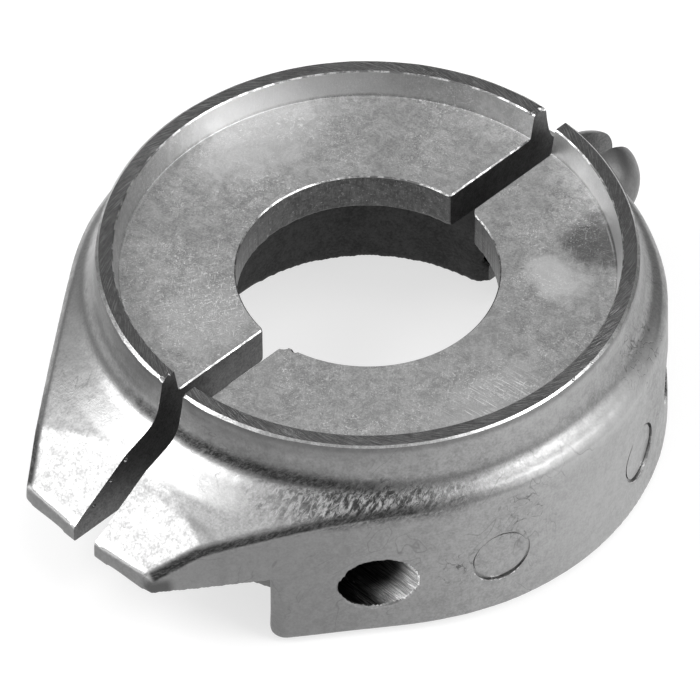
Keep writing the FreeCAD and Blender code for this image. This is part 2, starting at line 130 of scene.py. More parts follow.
def cast_blank(node, name, side):
    """A copy of the solid with its stock, rebuilt as one closed skin with soft corners."""
    piece = bpy.data.objects.new(name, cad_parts[node].data.copy())
    bpy.context.collection.objects.link(piece)
    only(piece)
    piece.data.materials.clear()
    add_stock(piece, side)
    skin = piece.modifiers.new("skin", "REMESH")
    skin.mode = "VOXEL"
    skin.voxel_size = skin_step
    bpy.ops.object.modifier_apply(modifier="skin")
    soften(piece, skin_passes)
    ripple(piece)
    return piece


screw_side = cast_blank("screw_side_half", "screw_side_casting", 1)
tapped_side = cast_blank("tapped_side_half", "tapped_side_casting", -1)


# The machining of the two castings: the rim, the dish and the bore are turned in one clamping, and
# the slit is sawn. Each tool is drawn as the solid that it sweeps.
turned_steps = 288


def turned_tool(name, profile):
    """The solid that a turning tool sweeps: rings at radius and height, from the lowest up."""
    bpy.ops.object.select_all(action="DESELECT")
    (first_radius, first_height), *rest = profile
    bpy.ops.mesh.primitive_circle_add(vertices=turned_steps, radius=first_radius, fill_type="NGON",
                                      location=(0, 0, first_height))
    tool = bpy.context.object
    tool.name = name
    bpy.ops.object.transform_apply(location=True)
    bpy.ops.object.mode_set(mode="EDIT")
    bpy.ops.mesh.select_all(action="SELECT")
    last_radius, last_height = first_radius, first_height
    for radius, height in rest:
        share = radius / last_radius
        bpy.ops.mesh.extrude_region_move(TRANSFORM_OT_translate={"value": (0, 0, height - last_height)})
        bpy.ops.transform.resize(value=(share, share, 1), center_override=(0, 0, height))
        last_radius, last_height = radius, height
    bpy.ops.mesh.select_all(action="SELECT")
    bpy.ops.mesh.normals_make_consistent(inside=False)
    bpy.ops.object.mode_set(mode="OBJECT")
    return tool


def cut(piece, tool):
    """Takes the tool's solid away from a piece."""
    only(piece)
    cutting = piece.modifiers.new("cut", "BOOLEAN")
    cutting.operation = "DIFFERENCE"
    cutting.solver = "MANIFOLD"
    cutting.object = tool
    bpy.ops.object.modifier_apply(modifier="cut")


def put_away(*tools):
    for tool in tools:
        bpy.data.objects.remove(tool)


def block(name, size, middle, turn=(0, 0, 0)):
    """A rectangular tool, turned about its own middle."""
    bpy.ops.object.select_all(action="DESELECT")
    bpy.ops.mesh.primitive_cube_add(size=1)
    tool = bpy.context.object
    tool.name = name
    tool.scale, tool.rotation_euler, tool.location = size, turn, middle
    bpy.ops.object.transform_apply(location=True, rotation=True, scale=True)
    return tool


rim_radius = 60.0 * MM
bore_radius = 29.25 * MM
flange_thickness = 9.7 * MM
edge_break = 0.3 * MM
foot_break = 0.12 * MM
bore_cut = bore_radius + 0.12 * MM
wall_top_radius = dish_edge_radius - 0.1 * MM
clear_above = rim_top + 3 * stock
beyond = 5 * stock
saw_size = (2 * slit_half, 300 * MM, 200 * MM)
turning = turned_tool("turning_tool", [
    (bore_cut, -flange_thickness - stock),
    (bore_cut, -edge_break),
    (bore_cut + edge_break, 0),
    (dish_floor_radius - foot_break, 0),
    (dish_floor_radius, foot_break),
    (wall_top_radius, rim_top - edge_break),
    (wall_top_radius + edge_break, rim_top),
    (rim_radius - edge_break, rim_top),
    (rim_radius + edge_break / 2, rim_top - 1.5 * edge_break),
    (rim_radius + beyond, rim_top - 1.5 * edge_break),
    (rim_radius + beyond, clear_above),
])
saw = block("slit_saw", saw_size, (0, 0, 0))
for piece in (screw_side, tapped_side):
    cut(piece, turning)
    cut(piece, saw)
put_away(turning, saw)


# The edges were broken by hand after that. The rim's outer corner has a slanted break, widest near
# the fin and run out to nothing on the way round, and the dish floor's slit edges have a fine one.
round_steps = 96
slant = 1.1


def rim_breaker(name, widest, middle_angle, run_out):
    """All that lies outside a cone whose axis stands off the collar's, away from the widest place."""
    shift = widest / (1 - math.cos(run_out))
    off = Vector((-math.sin(middle_angle), math.cos(middle_angle), 0)) * shift
    top = rim_radius - widest + shift
    bpy.ops.object.select_all(action="DESELECT")
    bpy.ops.mesh.primitive_cylinder_add(vertices=round_steps, radius=rim_radius + beyond, depth=4 * stock,
                                        location=(0, 0, rim_top))
    tool = bpy.context.object
    tool.name = name
    bpy.ops.object.transform_apply(location=True)
    bpy.ops.object.select_all(action="DESELECT")
    bpy.ops.mesh.primitive_cone_add(vertices=turned_steps, radius1=top + beyond * slant,
                                    radius2=top - beyond * slant, depth=2 * beyond,
                                    location=(off.x, off.y, rim_top))
    core = bpy.context.object
    bpy.ops.object.transform_apply(location=True)
    cut(tool, core)
    put_away(core)
    return tool


breaks = [(screw_side, rim_breaker("near_rim_file", 0.42 * MM, math.radians(-15), math.radians(82))),
          (tapped_side, rim_breaker("far_rim_file", 0.4 * MM, math.radians(-25), math.radians(80))),
          (screw_side, rim_breaker("nose_rim_file", 0.42 * MM, math.radians(122), math.radians(40)))]
for piece, tool in breaks:
    cut(piece, tool)
    put_away(tool)

floor_break = 0.28 * MM
lift = 1.0 * MM
short_of_wall = 1.2 * MM
file_turn = (0, math.pi / 4, 0)
file_side = (slit_half + floor_break + lift) * math.sqrt(2)
file_size = (file_side, dish_floor_radius - bore_radius, file_side)
for piece in (screw_side, tapped_side):
    for way in (-1, 1):
        file = block("slit_file", file_size,
                     (0, way * (bore_radius + dish_floor_radius - short_of_wall) / 2, lift), file_turn)
        cut(piece, file)
        put_away(file)

# The upright corners between the slit and the bore are rounded, most on the worn one by the fin.
def corner_file(side, way, round_off):
    """What a file takes off one upright corner of the bore: a block less the round that stays."""
    across = slit_half + round_off
    along = math.sqrt((bore_cut + round_off) ** 2 - across ** 2)
    depth = flange_thickness + 2 * lift
    middle = -flange_thickness / 2
    tool = block("corner_file", (round_off + lift, round_off + lift, depth),
                 (side * (across - (round_off + lift) / 2), way * (along - (round_off + lift) / 2), middle))
    bpy.ops.object.select_all(action="DESELECT")
    bpy.ops.mesh.primitive_cylinder_add(vertices=64, radius=round_off, depth=2 * depth,
                                        location=(side * across, way * along, middle))
    stays = bpy.context.object
    bpy.ops.object.transform_apply(location=True)
    cut(tool, stays)
    put_away(stays)
    return tool


for piece, side, way, round_off in ((screw_side, 1, -1, 3.0 * MM), (screw_side, 1, 1, 2.2 * MM),
                                    (tapped_side, -1, -1, 0.7 * MM), (tapped_side, -1, 1, 0.9 * MM)):
    file = corner_file(side, way, round_off)
    cut(piece, file)
    put_away(file)

# Knocks: small bites out of the rim's ends, the bore's corners, the slit's edges and the nose. Each
# is the place of the knock and how far its bite reaches in mm, and they differ a little in shape.
knocks = {
    tapped_side: [((-slit_half, -60.0 * MM, rim_top), 1.5), ((-slit_half, -57.6 * MM, rim_top), 0.8),
                  ((-slit_half, 59.4 * MM, rim_top), 1.7), ((-4.6 * MM, 56.5 * MM, rim_top), 0.9),
                  ((-slit_half, -81.2 * MM, -17.6 * MM), 1.0), ((-slit_half, -76.0 * MM, -13.5 * MM), 0.7),
                  ((-slit_half, -71.5 * MM, -10.2 * MM), 0.8), ((-slit_half, -29.3 * MM, 0), 0.8),
                  ((-38.5 * MM, 40.6 * MM, rim_top), 0.5), ((-47.5 * MM, 29.7 * MM, rim_top), 0.6),
                  ((-55.9 * MM, 5.2 * MM, rim_top), 0.5)],
    screw_side: [((slit_half, -29.3 * MM, 0), 2.4), ((6.2 * MM, -28.7 * MM, 0), 1.5),
                 ((slit_half, 29.2 * MM, 0), 1.1),
                 ((59.1 * MM, 10.2 * MM, rim_top), 0.6), ((59.9 * MM, 3.6 * MM, rim_top), 0.7),
                 ((58.4 * MM, 14.2 * MM, rim_top), 0.5), ((slit_half, -59.8 * MM, rim_top), 1.0),
                 ((slit_half, -79.0 * MM, -15.5 * MM), 0.6)],
}
shapes = np.random.default_rng(8)
for piece, bites in knocks.items():
    for place, size in bites:
        bpy.ops.object.select_all(action="DESELECT")
        bpy.ops.mesh.primitive_ico_sphere_add(subdivisions=2, radius=size * MM, location=place)
        bite = bpy.context.object
        bite.scale = shapes.uniform(0.5, 1.0, 3)
        bite.rotation_euler = shapes.uniform(0, math.pi, 3)
        bpy.ops.object.transform_apply(location=True, rotation=True, scale=True)
        cut(piece, bite)
        put_away(bite)

# The round marks of the mould's pins on the skirt, two on each half: a sunk flat, with a fine step
# round it where the pin's own edge stood proud.
mark_radius = 7.0 * MM
mark_floor = 66.8 * MM
mark_height = base + 17.0 * MM
mark_angle = math.radians(19)
mark_tilt = math.radians(2.2)
mark_step = 0.4 * MM
step_width = 0.6 * MM


def pin(name, radius, start, angle, tilt):
    """A round pin that points nearly at the axis and ends at the start radius."""
    bpy.ops.object.select_all(action="DESELECT")
    out = Vector((math.cos(angle), math.sin(angle), 0)) * start
    lean = Vector((math.cos(angle + tilt), math.sin(angle + tilt), 0)) * 3 * stock
    bpy.ops.mesh.primitive_cylinder_add(vertices=round_steps, radius=radius, depth=6 * stock,
                                        location=out + lean + Vector((0, 0, mark_height)),
                                        rotation=(0, math.pi / 2, angle + tilt))
    tool = bpy.context.object
    tool.name = name
    bpy.ops.object.transform_apply(location=True, rotation=True)
    return tool


for piece, middle_angle in ((screw_side, 0), (tapped_side, math.pi)):
    for way in (-1, 1):
        angle, tilt = middle_angle + way * mark_angle, way * mark_tilt
        step = pin("pin_edge", mark_radius, mark_floor - mark_step, angle, tilt)
        face = pin("pin_face", mark_radius - step_width, mark_floor - stock, angle, tilt)
        cut(step, face)
        flat = pin("pin_flat", mark_radius, mark_floor, angle, tilt)
        cut(piece, flat)
        cut(piece, step)
        put_away(step, face, flat)

# The two clamping screws' ways: clearance holes with counterbores in one half, and blind tapped
# holes in the other. They are drilled after casting, 46 mm each side of the axis.
screw_offset = 46.0 * MM
screw_height = base + 16.0 * MM
head_radius = 7.02 * MM
shank_radius = 4.62 * MM
screw_seat = 30.0 * MM
thread_radius = 4.12 * MM
thread_end = -25.25 * MM
drill_reach = 80 * MM


def drill(name, radius, start, end, y):
    """The solid that a drill sweeps along X, from start to end."""
    bpy.ops.object.select_all(action="DESELECT")
    bpy.ops.mesh.primitive_cylinder_add(vertices=round_steps, radius=radius, depth=abs(end - start),
                                        location=((start + end) / 2, y, screw_height),
                                        rotation=(0, math.pi / 2, 0))
    tool = bpy.context.object
    tool.name = name
    bpy.ops.object.transform_apply(location=True, rotation=True)
    return tool


for y in (-screw_offset, screw_offset):
    shank = drill("shank_drill", shank_radius, 0, drill_reach, y)
    head = drill("head_drill", head_radius, screw_seat, drill_reach, y)
    thread = drill("thread_drill", thread_radius, thread_end, 0, y)
    cut(screw_side, shank)
    cut(screw_side, head)
    cut(tapped_side, thread)
    put_away(shank, head, thread)


# The finishes. The metal is bare: a dull cast skin with flow marks and grain, milled and brushed faces where
# it was machined, and sawn faces in the slit, painted dark for the shade there.
def add(tree, kind, inputs=(), **settings):
    """A node with its settings, and its inputs set or linked by name or number."""
    made = tree.nodes.new("ShaderNode" + kind)
    for name, setting in settings.items():
        setattr(made, name, setting)
    for name, given in dict(inputs).items():
        if isinstance(given, bpy.types.NodeSocket):
            tree.links.new(given, made.inputs[name])
        else:
            made.inputs[name].default_value = given
    return made


def math_node(tree, operation, *given):
    return add(tree, "Math", dict(enumerate(given)), operation=operation).outputs[0]


def times(tree, first, second):
    return math_node(tree, "MULTIPLY", first, second)


def plus(tree, first, second):
    return math_node(tree, "ADD", first, second)


def less(tree, first, second):
    return math_node(tree, "SUBTRACT", first, second)


def most(tree, first, second):
    return math_node(tree, "MAXIMUM", first, second)


def ramp(tree, given, low, high, to_low=0.0, to_high=1.0):
    """Maps low to high smoothly onto another range."""
    made = add(tree, "MapRange", {"Value": given, "From Min": low, "From Max": high,
                                  "To Min": to_low, "To Max": to_high}, interpolation_type="SMOOTHSTEP")
    return made.outputs["Result"]


def speckle(tree, place, scale, detail=2.0, rough=0.5, distortion=0.0):
    made = add(tree, "TexNoise", {"Vector": place, "Scale": scale, "Detail": detail, "Roughness": rough,
                                  "Distortion": distortion})
    return made.outputs["Fac"]


def speckle_colour(tree, place, scale):
    """Three noises at once, as a vector about the middle."""
    made = add(tree, "TexNoise", {"Vector": place, "Scale": scale, "Detail": 2.0})
    about_middle = {0: made.outputs["Color"], 1: (0.5, 0.5, 0.5)}
    return add(tree, "VectorMath", about_middle, operation="SUBTRACT").outputs[0]


def grey(tree, tone):
    made = add(tree, "CombineColor", {0: tone, 1: tone, 2: tone})
    return made.outputs[0]


def effect(name, inputs, outputs):
    """An empty node group with named sockets."""
    group = bpy.data.node_groups.new(name, "ShaderNodeTree")
    for socket, kind, start in inputs:
        made = group.interface.new_socket(name=socket, in_out="INPUT", socket_type="NodeSocket" + kind)
        if kind == "Float":
            made.default_value = start
    for socket, kind in outputs:
        group.interface.new_socket(name=socket, in_out="OUTPUT", socket_type="NodeSocket" + kind)
    return group, group.nodes.new("NodeGroupInput").outputs, group.nodes.new("NodeGroupOutput").inputs


def use(tree, group, inputs):
    return add(tree, "Group", inputs, node_tree=group).outputs


# Grain of the metal, as a tone and a height: fine crystals over wider stains. Places are in metres,
# and scales in features per metre.
grain, given, given_out = effect(
    "metal_grain", [("Place", "Vector", 0), ("Fine", "Float", 2600.0), ("Stain", "Float", 90.0)],
    [("Tone", "Float"), ("Height", "Float")])
fine = speckle(grain, given["Place"], given["Fine"], 3.0, 0.65)
middle_grain = speckle(grain, given["Place"], times(grain, given["Fine"], 0.28), 3.0, 0.6)
stain = speckle(grain, given["Place"], given["Stain"], 5.0, 0.6, 0.6)
crystals = plus(grain, times(grain, fine, 0.45), times(grain, middle_grain, 0.3))
tone = plus(grain, crystals, times(grain, stain, 0.25))
grain.links.new(ramp(grain, tone, 0.34, 0.66), given_out["Tone"])
grain.links.new(crystals, given_out["Height"])

# Strokes of a tool or of handling: long thin streaks across the face, some strong and most faint.
strokes, given, given_out = effect(
    "tool_strokes", [("Along", "Float", 0), ("Across", "Float", 0), ("Length", "Float", 8 * MM),
                     ("Width", "Float", 0.3 * MM), ("Rarity", "Float", 0.55)], [("Mask", "Float")])
run = math_node(strokes, "DIVIDE", given["Along"], given["Length"])
step_across = math_node(strokes, "DIVIDE", given["Across"], given["Width"])
streak_place = add(strokes, "CombineXYZ", {0: run, 1: step_across}).outputs[0]
streak = speckle(strokes, streak_place, 1.0, 2.0, 0.7)
strokes.links.new(ramp(strokes, streak, given["Rarity"], plus(strokes, given["Rarity"], 0.12)),
                  given_out["Mask"])

# A patch with a ragged border, given by its middle and half size in two measures of the surface,
# such as the way round and the height.
patch, given, given_out = effect(
    "ragged_patch", [("Place", "Vector", 0), ("First", "Float", 0), ("Second", "Float", 0),
                     ("First Middle", "Float", 0), ("First Half", "Float", 1), ("Second Middle", "Float", 0),
                     ("Second Half", "Float", 1), ("Ragged", "Float", 0.5), ("Scale", "Float", 150.0),
                     ("Inner", "Float", 0.55)], [("Mask", "Float")])
shares = []
for measure in ("First", "Second"):
    apart = less(patch, given[measure], given[measure + " Middle"])
    share = math_node(patch, "DIVIDE", apart, given[measure + " Half"])
    shares.append(times(patch, share, share))
spread = math_node(patch, "SQRT", plus(patch, *shares))
fray = less(patch, speckle(patch, given["Place"], given["Scale"], 4.0, 0.65, 0.5), 0.5)
spread = plus(patch, spread, times(patch, fray, given["Ragged"]))
patch.links.new(ramp(patch, spread, given["Inner"], 1.05, 1.0, 0.0), given_out["Mask"])


def metal(name):
    """A bare metal with its own tree; its shader and the object's coordinates."""
    made = bpy.data.materials.new(name)
    made.use_nodes = True
    tree = made.node_tree
    shader = tree.nodes["Principled BSDF"]
    shader.inputs["Metallic"].default_value = 1.0
    place = add(tree, "TexCoord").outputs["Object"]
    return made, tree, shader, place


def polar(tree, place):
    """Distance from the axis, and the way round at the rim with its seam in the slit."""
    split = add(tree, "SeparateXYZ", {0: place})
    flat = add(tree, "CombineXYZ", {0: split.outputs[0], 1: split.outputs[1]}).outputs[0]
    from_axis = add(tree, "VectorMath", {0: flat}, operation="LENGTH").outputs["Value"]
    angle = math_node(tree, "ARCTAN2", split.outputs[0], times(tree, split.outputs[1], -1.0))
    return from_axis, times(tree, angle, rim_radius), split


def round_to(degrees):
    """The way round at the rim, from the fin's side of the slit, to a place at that angle."""
    return math.radians(degrees) * rim_radius


def patch_at(tree, place, first, second, middle, half, ragged, scale, inner):
    """A ragged patch; its middle and its half size are pairs, one number for each measure."""
    return use(tree, patch, {"Place": place, "First": first, "Second": second,
                             "First Middle": middle[0], "First Half": half[0],
                             "Second Middle": middle[1], "Second Half": half[1],
                             "Ragged": ragged, "Scale": scale, "Inner": inner})["Mask"]


def blend(tree, tone, mask, other, strength=1.0):
    """Moves a tone towards another one where the mask is strong."""
    made = add(tree, "Mix", {0: times(tree, mask, strength), 2: tone, 3: other})
    return made.outputs[0]


def bump(tree, shader, height, distance):
    made = add(tree, "Bump", {"Height": height, "Distance": distance, "Strength": 1.0})
    tree.links.new(made.outputs[0], shader.inputs["Normal"])


def cast_skin():
    made, tree, shader, place = metal("cast_skin")
    texture = use(tree, grain, {"Place": place, "Fine": 1700.0, "Stain": 45.0})
    from_axis, around, split = polar(tree, place)
    height = split.outputs[2]
    tone = plus(tree, times(tree, texture["Tone"], 0.13), 0.245)

    # Flow marks of the metal, and a net of fine cracks beside the near pin mark, by the screw hole
    # and at the far right.
    wobble = {0: speckle_colour(tree, place, 160.0), "Scale": 10 * MM}
    wave = add(tree, "VectorMath", wobble, operation="SCALE").outputs[0]
    bent = add(tree, "VectorMath", {0: place, 1: wave}, operation="ADD").outputs[0]
    cells = add(tree, "TexVoronoi", {"Vector": bent, "Scale": 330.0}, feature="DISTANCE_TO_EDGE")
    by_mark = patch_at(tree, place, around, height, (round_to(76), -17 * MM), (10 * MM, 10 * MM),
                       0.9, 220.0, 0.2)
    far_right = patch_at(tree, place, around, height, (round_to(116), -4 * MM), (12 * MM, 12 * MM),
                         0.9, 220.0, 0.2)
    by_hole = patch_at(tree, place, around, height, (round_to(62), -27 * MM), (8 * MM, 7 * MM),
                       1.0, 260.0, 0.1)
    cracked = plus(tree, plus(tree, by_mark, far_right), by_hole)
    crack = times(tree, ramp(tree, cells.outputs["Distance"], 0.006, 0.04, 1.0, 0.0), cracked)
    crack = times(tree, crack, ramp(tree, speckle(tree, place, 420.0), 0.42, 0.56))
    flow = math_node(tree, "ABSOLUTE", less(tree, speckle(tree, place, 42.0, 3.0, 0.55, 1.2), 0.5))
    flow = times(tree, ramp(tree, flow, 0.0, 0.007, 1.0, 0.0),
                 ramp(tree, speckle(tree, place, 70.0), 0.5, 0.6))

    # Scratches of handling, slanting down across the skirt.
    slant = less(tree, height, times(tree, around, 0.75))
    along = plus(tree, around, times(tree, height, 0.75))
    scratch = use(tree, strokes, {"Along": along, "Across": slant, "Length": 20 * MM, "Width": 0.4 * MM,
                                  "Rarity": 0.6})["Mask"]
    scratched = patch_at(tree, place, around, height, (round_to(42), -24 * MM), (14 * MM, 14 * MM),
                         0.8, 90.0, 0.2)
    scratch = times(tree, scratch, plus(tree, scratched, 0.12))

    # The shoulder by the fin and the hollow above it are rough and dull, with a fibrous look where the metal
    # froze early, and painted shade darkens them; the fin's tip facet and the far shoulder get painted
    # highlights.
    fibre_place = add(tree, "CombineXYZ", {0: times(tree, along, 0.45), 1: slant}).outputs[0]
    fibres = speckle(tree, fibre_place, 1300.0, 5.0, 0.75, 0.5)
    looks_up = add(tree, "SeparateXYZ", {0: add(tree, "TexCoord").outputs["Normal"]}).outputs[2]
    # Painted shade on the sloping band along the shoulder by the fin and in the neck hollow, over the real
    # rough, fibrous skin.
    corner = times(tree, ramp(tree, looks_up, 0.12, 0.4), ramp(tree, looks_up, 0.55, 0.76, 1.0, 0.0))
    by_fin = patch_at(tree, place, around, height, (round_to(20), -16 * MM), (50 * MM, 18 * MM),
                      0.35, 200.0, 0.8)
    dull_and_shaded = times(tree, corner, by_fin)
    hollow = patch_at(tree, place, around, height, (round_to(45), -6.2 * MM), (29 * MM, 5.6 * MM),
                      0.9, 260.0, 0.15)
    dull_and_shaded = most(tree, dull_and_shaded, times(tree, hollow, ramp(tree, fibres, 0.36, 0.56)))
    dull_and_shaded = times(tree, dull_and_shaded, ramp(tree, fibres, 0.3, 0.62, 0.55, 1.0))
    # Painted highlight across the far shoulder, which is also made rougher.
    far_shoulder_highlight = patch_at(tree, place, around, height, (round_to(98), -7.5 * MM), (36 * MM, 4.5 * MM),
                      0.35, 240.0, 0.2)
    # Painted highlight on the fin's tip facet; the painted shade is kept off the tip.
    tip = ramp(tree, split.outputs[1], -85.2 * MM, -86.2 * MM)
    dull_and_shaded = times(tree, dull_and_shaded, less(tree, 1.0, tip))
    tip = times(tree, tip, ramp(tree, looks_up, 0.25, 0.5))
    # Painted highlight on the flare beside the fin, inside about 72 mm from the axis.
    flare_highlight = patch_at(tree, place, around, height, (round_to(2), -9 * MM), (26 * MM, 11 * MM),
                     0.3, 150.0, 0.25)
    flare_highlight = times(tree, flare_highlight, ramp(tree, from_axis, 70.5 * MM, 72.5 * MM, 1.0, 0.0))
    # Painted light on the far half's neck.
    far_neck_highlight = patch_at(tree, place, around, height, (round_to(-75), 0), (45 * MM, 9 * MM), 0.3, 150.0, 0.3)
    # Painted shade on the rounded outer corner of the fin's tip.
    tip_corner_shade = patch_at(tree, place, split.outputs[0], height, (20.5 * MM, -22.5 * MM),
                            (4 * MM, 3.5 * MM), 0.8, 300.0, 0.3)
    tip_corner_shade = times(tree, tip_corner_shade, ramp(tree, split.outputs[1], -81.5 * MM, -83.5 * MM))
    # Painted reflection on the upright skin: darker on the far half and on the near half up to about 25
    # degrees round, fading by 85, and lighter from about 60 to about 115 degrees round.
    upright = ramp(tree, looks_up, 0.1, 0.3, 1.0, 0.0)
    shaded_side = times(tree, ramp(tree, around, round_to(25), round_to(85), 1.0, 0.0), upright)
    lit_side = times(tree, ramp(tree, around, round_to(60), round_to(95)), upright)
    lit_side = times(tree, lit_side, ramp(tree, around, round_to(108), round_to(122), 1.0, -0.8))
    # Painted shade along the crease by the fin.
    crease_shade = patch_at(tree, place, split.outputs[1], around, (-73.5 * MM, round_to(11)), (1.6 * MM, 17 * MM),
                      0.4, 300.0, 0.1)
    # Painted shade on the skin just under the rim.
    under_rim_shade = ramp(tree, height, rim_top - 2.4 * MM, rim_top - 1.0 * MM)
    # Painted shade on the nose.
    nose = ramp(tree, split.outputs[1], 64 * MM, 68 * MM)

    for mask, other, strength in (
            (shaded_side, 0.17, 0.75), (lit_side, 0.48, 0.45), (far_neck_highlight, 0.75, 0.65), (far_shoulder_highlight, 0.55, 0.65),
            (flare_highlight, 0.75, 0.6), (tip, 0.9, 0.9), (crease_shade, 0.14, 0.6), (tip_corner_shade, 0.06, 0.8),
            (under_rim_shade, 0.1, 0.5), (dull_and_shaded, 0.03, 0.95), (nose, 0.13, 0.75), (crack, 0.06, 0.75),
            (flow, 0.1, 0.4), (scratch, 0.12, 0.6)):
        tone = blend(tree, tone, mask, other, strength)
    tree.links.new(grey(tree, tone), shader.inputs["Base Color"])
    rough = plus(tree, times(tree, dull_and_shaded, 0.2), times(tree, far_shoulder_highlight, 0.14))
    rough = plus(tree, rough, ramp(tree, texture["Tone"], 0.0, 1.0, 0.46, 0.36))
    tree.links.new(rough, shader.inputs["Roughness"])
    relief = less(tree, texture["Height"], times(tree, crack, 0.6))
    relief = less(tree, relief, times(tree, scratch, 0.3))
    relief = plus(tree, relief, times(tree, times(tree, dull_and_shaded, fibres), 1.3))
    facet = patch_at(tree, place, split.outputs[1], split.outputs[0], (-78 * MM, 0), (12 * MM, 34 * MM),
                     0.2, 150.0, 0.7)
    relief = times(tree, relief, less(tree, 1.0, times(tree, facet, 0.7)))
    bump(tree, shader, relief, 0.08 * MM)
    return made


def milled_rim():
    made, tree, shader, place = metal("milled_rim")
    from_axis, around, split = polar(tree, place)
    lean = math.radians(24)
    along = plus(tree, times(tree, around, math.cos(lean)), times(tree, from_axis, math.sin(lean)))
    across = less(tree, times(tree, from_axis, math.cos(lean)), times(tree, around, math.sin(lean)))
    marks = use(tree, strokes, {"Along": along, "Across": across, "Length": 6 * MM, "Width": 0.16 * MM,
                                "Rarity": 0.5})["Mask"]
    texture = use(tree, grain, {"Place": place, "Fine": 2600.0, "Stain": 120.0})
    tone = plus(tree, times(tree, marks, 0.14), times(tree, texture["Tone"], 0.06))
    tree.links.new(grey(tree, plus(tree, tone, 0.1)), shader.inputs["Base Color"])
    shader.inputs["Roughness"].default_value = 0.34
    bump(tree, shader, marks, 0.03 * MM)
    return made


def dish_face():
    made, tree, shader, place = metal("dish_face")
    from_axis, around, split = polar(tree, place)
    x, y, height = split.outputs[0], split.outputs[1], split.outputs[2]
    texture = use(tree, grain, {"Place": place, "Fine": 1900.0, "Stain": 60.0})
    tone = plus(tree, times(tree, texture["Tone"], 0.26), 0.34)

    # Stains: darker by the nose, and lighter beside that, under the far wall, by the fin and near by.
    stain = ramp(tree, speckle(tree, place, 48.0, 4.0, 0.6, 1.0), 0.42, 0.62)
    tone = blend(tree, tone, stain, 0.52, 0.4)
    mottle = ramp(tree, speckle(tree, place, 260.0, 6.0, 0.72, 1.0), 0.38, 0.62)
    tone = blend(tree, tone, mottle, 0.14, 0.38)
    for middle, half, other, strength in (
            ((30 * MM, 42 * MM), (10 * MM, 9 * MM), 0.1, 0.8),
            ((31 * MM, 28 * MM), (10 * MM, 7 * MM), 0.72, 0.75),
            ((-48 * MM, 12 * MM), (16 * MM, 22 * MM), 0.8, 0.45),
            ((-14 * MM, -36 * MM), (12 * MM, 14 * MM), 0.7, 0.35),
            ((47 * MM, -9 * MM), (9 * MM, 20 * MM), 0.62, 0.45)):
        there = patch_at(tree, place, x, y, middle, half, 1.3, 170.0, 0.45)
        tone = blend(tree, tone, there, other, strength)

    # Brushing and fine scratches, in three directions, and bright specks.
    marks = []
    for turn, length, width, rarity in ((8, 7 * MM, 0.32 * MM, 0.56), (64, 7 * MM, 0.26 * MM, 0.6),
                                        (128, 5 * MM, 0.26 * MM, 0.6)):
        cosine = math.cos(math.radians(turn))
        sine = math.sin(math.radians(turn))
        along = plus(tree, times(tree, x, cosine), times(tree, y, sine))
        across = less(tree, times(tree, y, cosine), times(tree, x, sine))
        marks.append(use(tree, strokes, {"Along": along, "Across": across, "Length": length, "Width": width,
                                         "Rarity": rarity})["Mask"])
    brushed = patch_at(tree, place, x, y, (48 * MM, -8 * MM), (11 * MM, 16 * MM), 0.8, 160.0, 0.2)
    by_fin = patch_at(tree, place, x, y, (-18 * MM, -30 * MM), (22 * MM, 20 * MM), 0.8, 110.0, 0.2)
    lines = times(tree, marks[0], plus(tree, brushed, 0.18))
    for mark in marks[1:]:
        line = times(tree, mark, plus(tree, times(tree, by_fin, 0.8), 0.4))
        lines = most(tree, lines, line)
    specks = ramp(tree, speckle(tree, place, 2400.0, 2.0, 0.6), 0.6, 0.68)
    specks = times(tree, specks, ramp(tree, speckle(tree, place, 90.0), 0.45, 0.6))
    lines = most(tree, lines, times(tree, specks, 0.7))
    fibres = speckle(tree, place, 1100.0, 5.0, 0.75, 2.0)
    scattered = ramp(tree, speckle(tree, place, 70.0), 0.42, 0.62, 0.25, 0.9)
    fibres = times(tree, ramp(tree, fibres, 0.54, 0.64), plus(tree, times(tree, by_fin, 0.8), scattered))
    lines = most(tree, lines, fibres)
    tone = blend(tree, tone, lines, 0.95, 0.8)

    # The wall is lighter than the floor, with painted highlights across the far side and by the nose, and a
    # cutter's line runs round at its foot.
    wall = ramp(tree, height, 0.3 * MM, 1.2 * MM)
    far_wall_highlight = patch_at(tree, place, around, height, (round_to(-115), 3.5 * MM), (40 * MM, 20 * MM),
                        0.5, 120.0, 0.3)
    tone = blend(tree, tone, wall, 0.6, 0.35)
    tone = blend(tree, tone, times(tree, wall, far_wall_highlight), 0.8, 0.7)
    nose_wall_highlight = patch_at(tree, place, around, height, (round_to(140), 3.5 * MM), (50 * MM, 20 * MM),
                       0.5, 120.0, 0.3)
    tone = blend(tree, tone, times(tree, wall, nose_wall_highlight), 0.95, 0.7)
    foot = math_node(tree, "ABSOLUTE", less(tree, from_axis, dish_floor_radius - 0.4 * MM))
    foot = times(tree, ramp(tree, foot, 0.0, 0.3 * MM, 1.0, 0.0),
                 ramp(tree, speckle(tree, place, 120.0), 0.35, 0.6))
    tone = blend(tree, tone, foot, 0.8, 0.35)
    tree.links.new(grey(tree, tone), shader.inputs["Base Color"])
    tree.links.new(ramp(tree, texture["Tone"], 0.0, 1.0, 0.52, 0.42), shader.inputs["Roughness"])
    bump(tree, shader, less(tree, texture["Height"], times(tree, lines, 0.3)), 0.08 * MM)
    return made


def plain_finish(name, fine, stain, contrast, darkest, roughness, depth):
    """A bare face that shows only its grain."""
    made, tree, shader, place = metal(name)
    texture = use(tree, grain, {"Place": place, "Fine": fine, "Stain": stain})
    tone = plus(tree, times(tree, texture["Tone"], contrast), darkest)
    tree.links.new(grey(tree, tone), shader.inputs["Base Color"])
    shader.inputs["Roughness"].default_value = roughness
    bump(tree, shader, texture["Height"], depth)
    return made


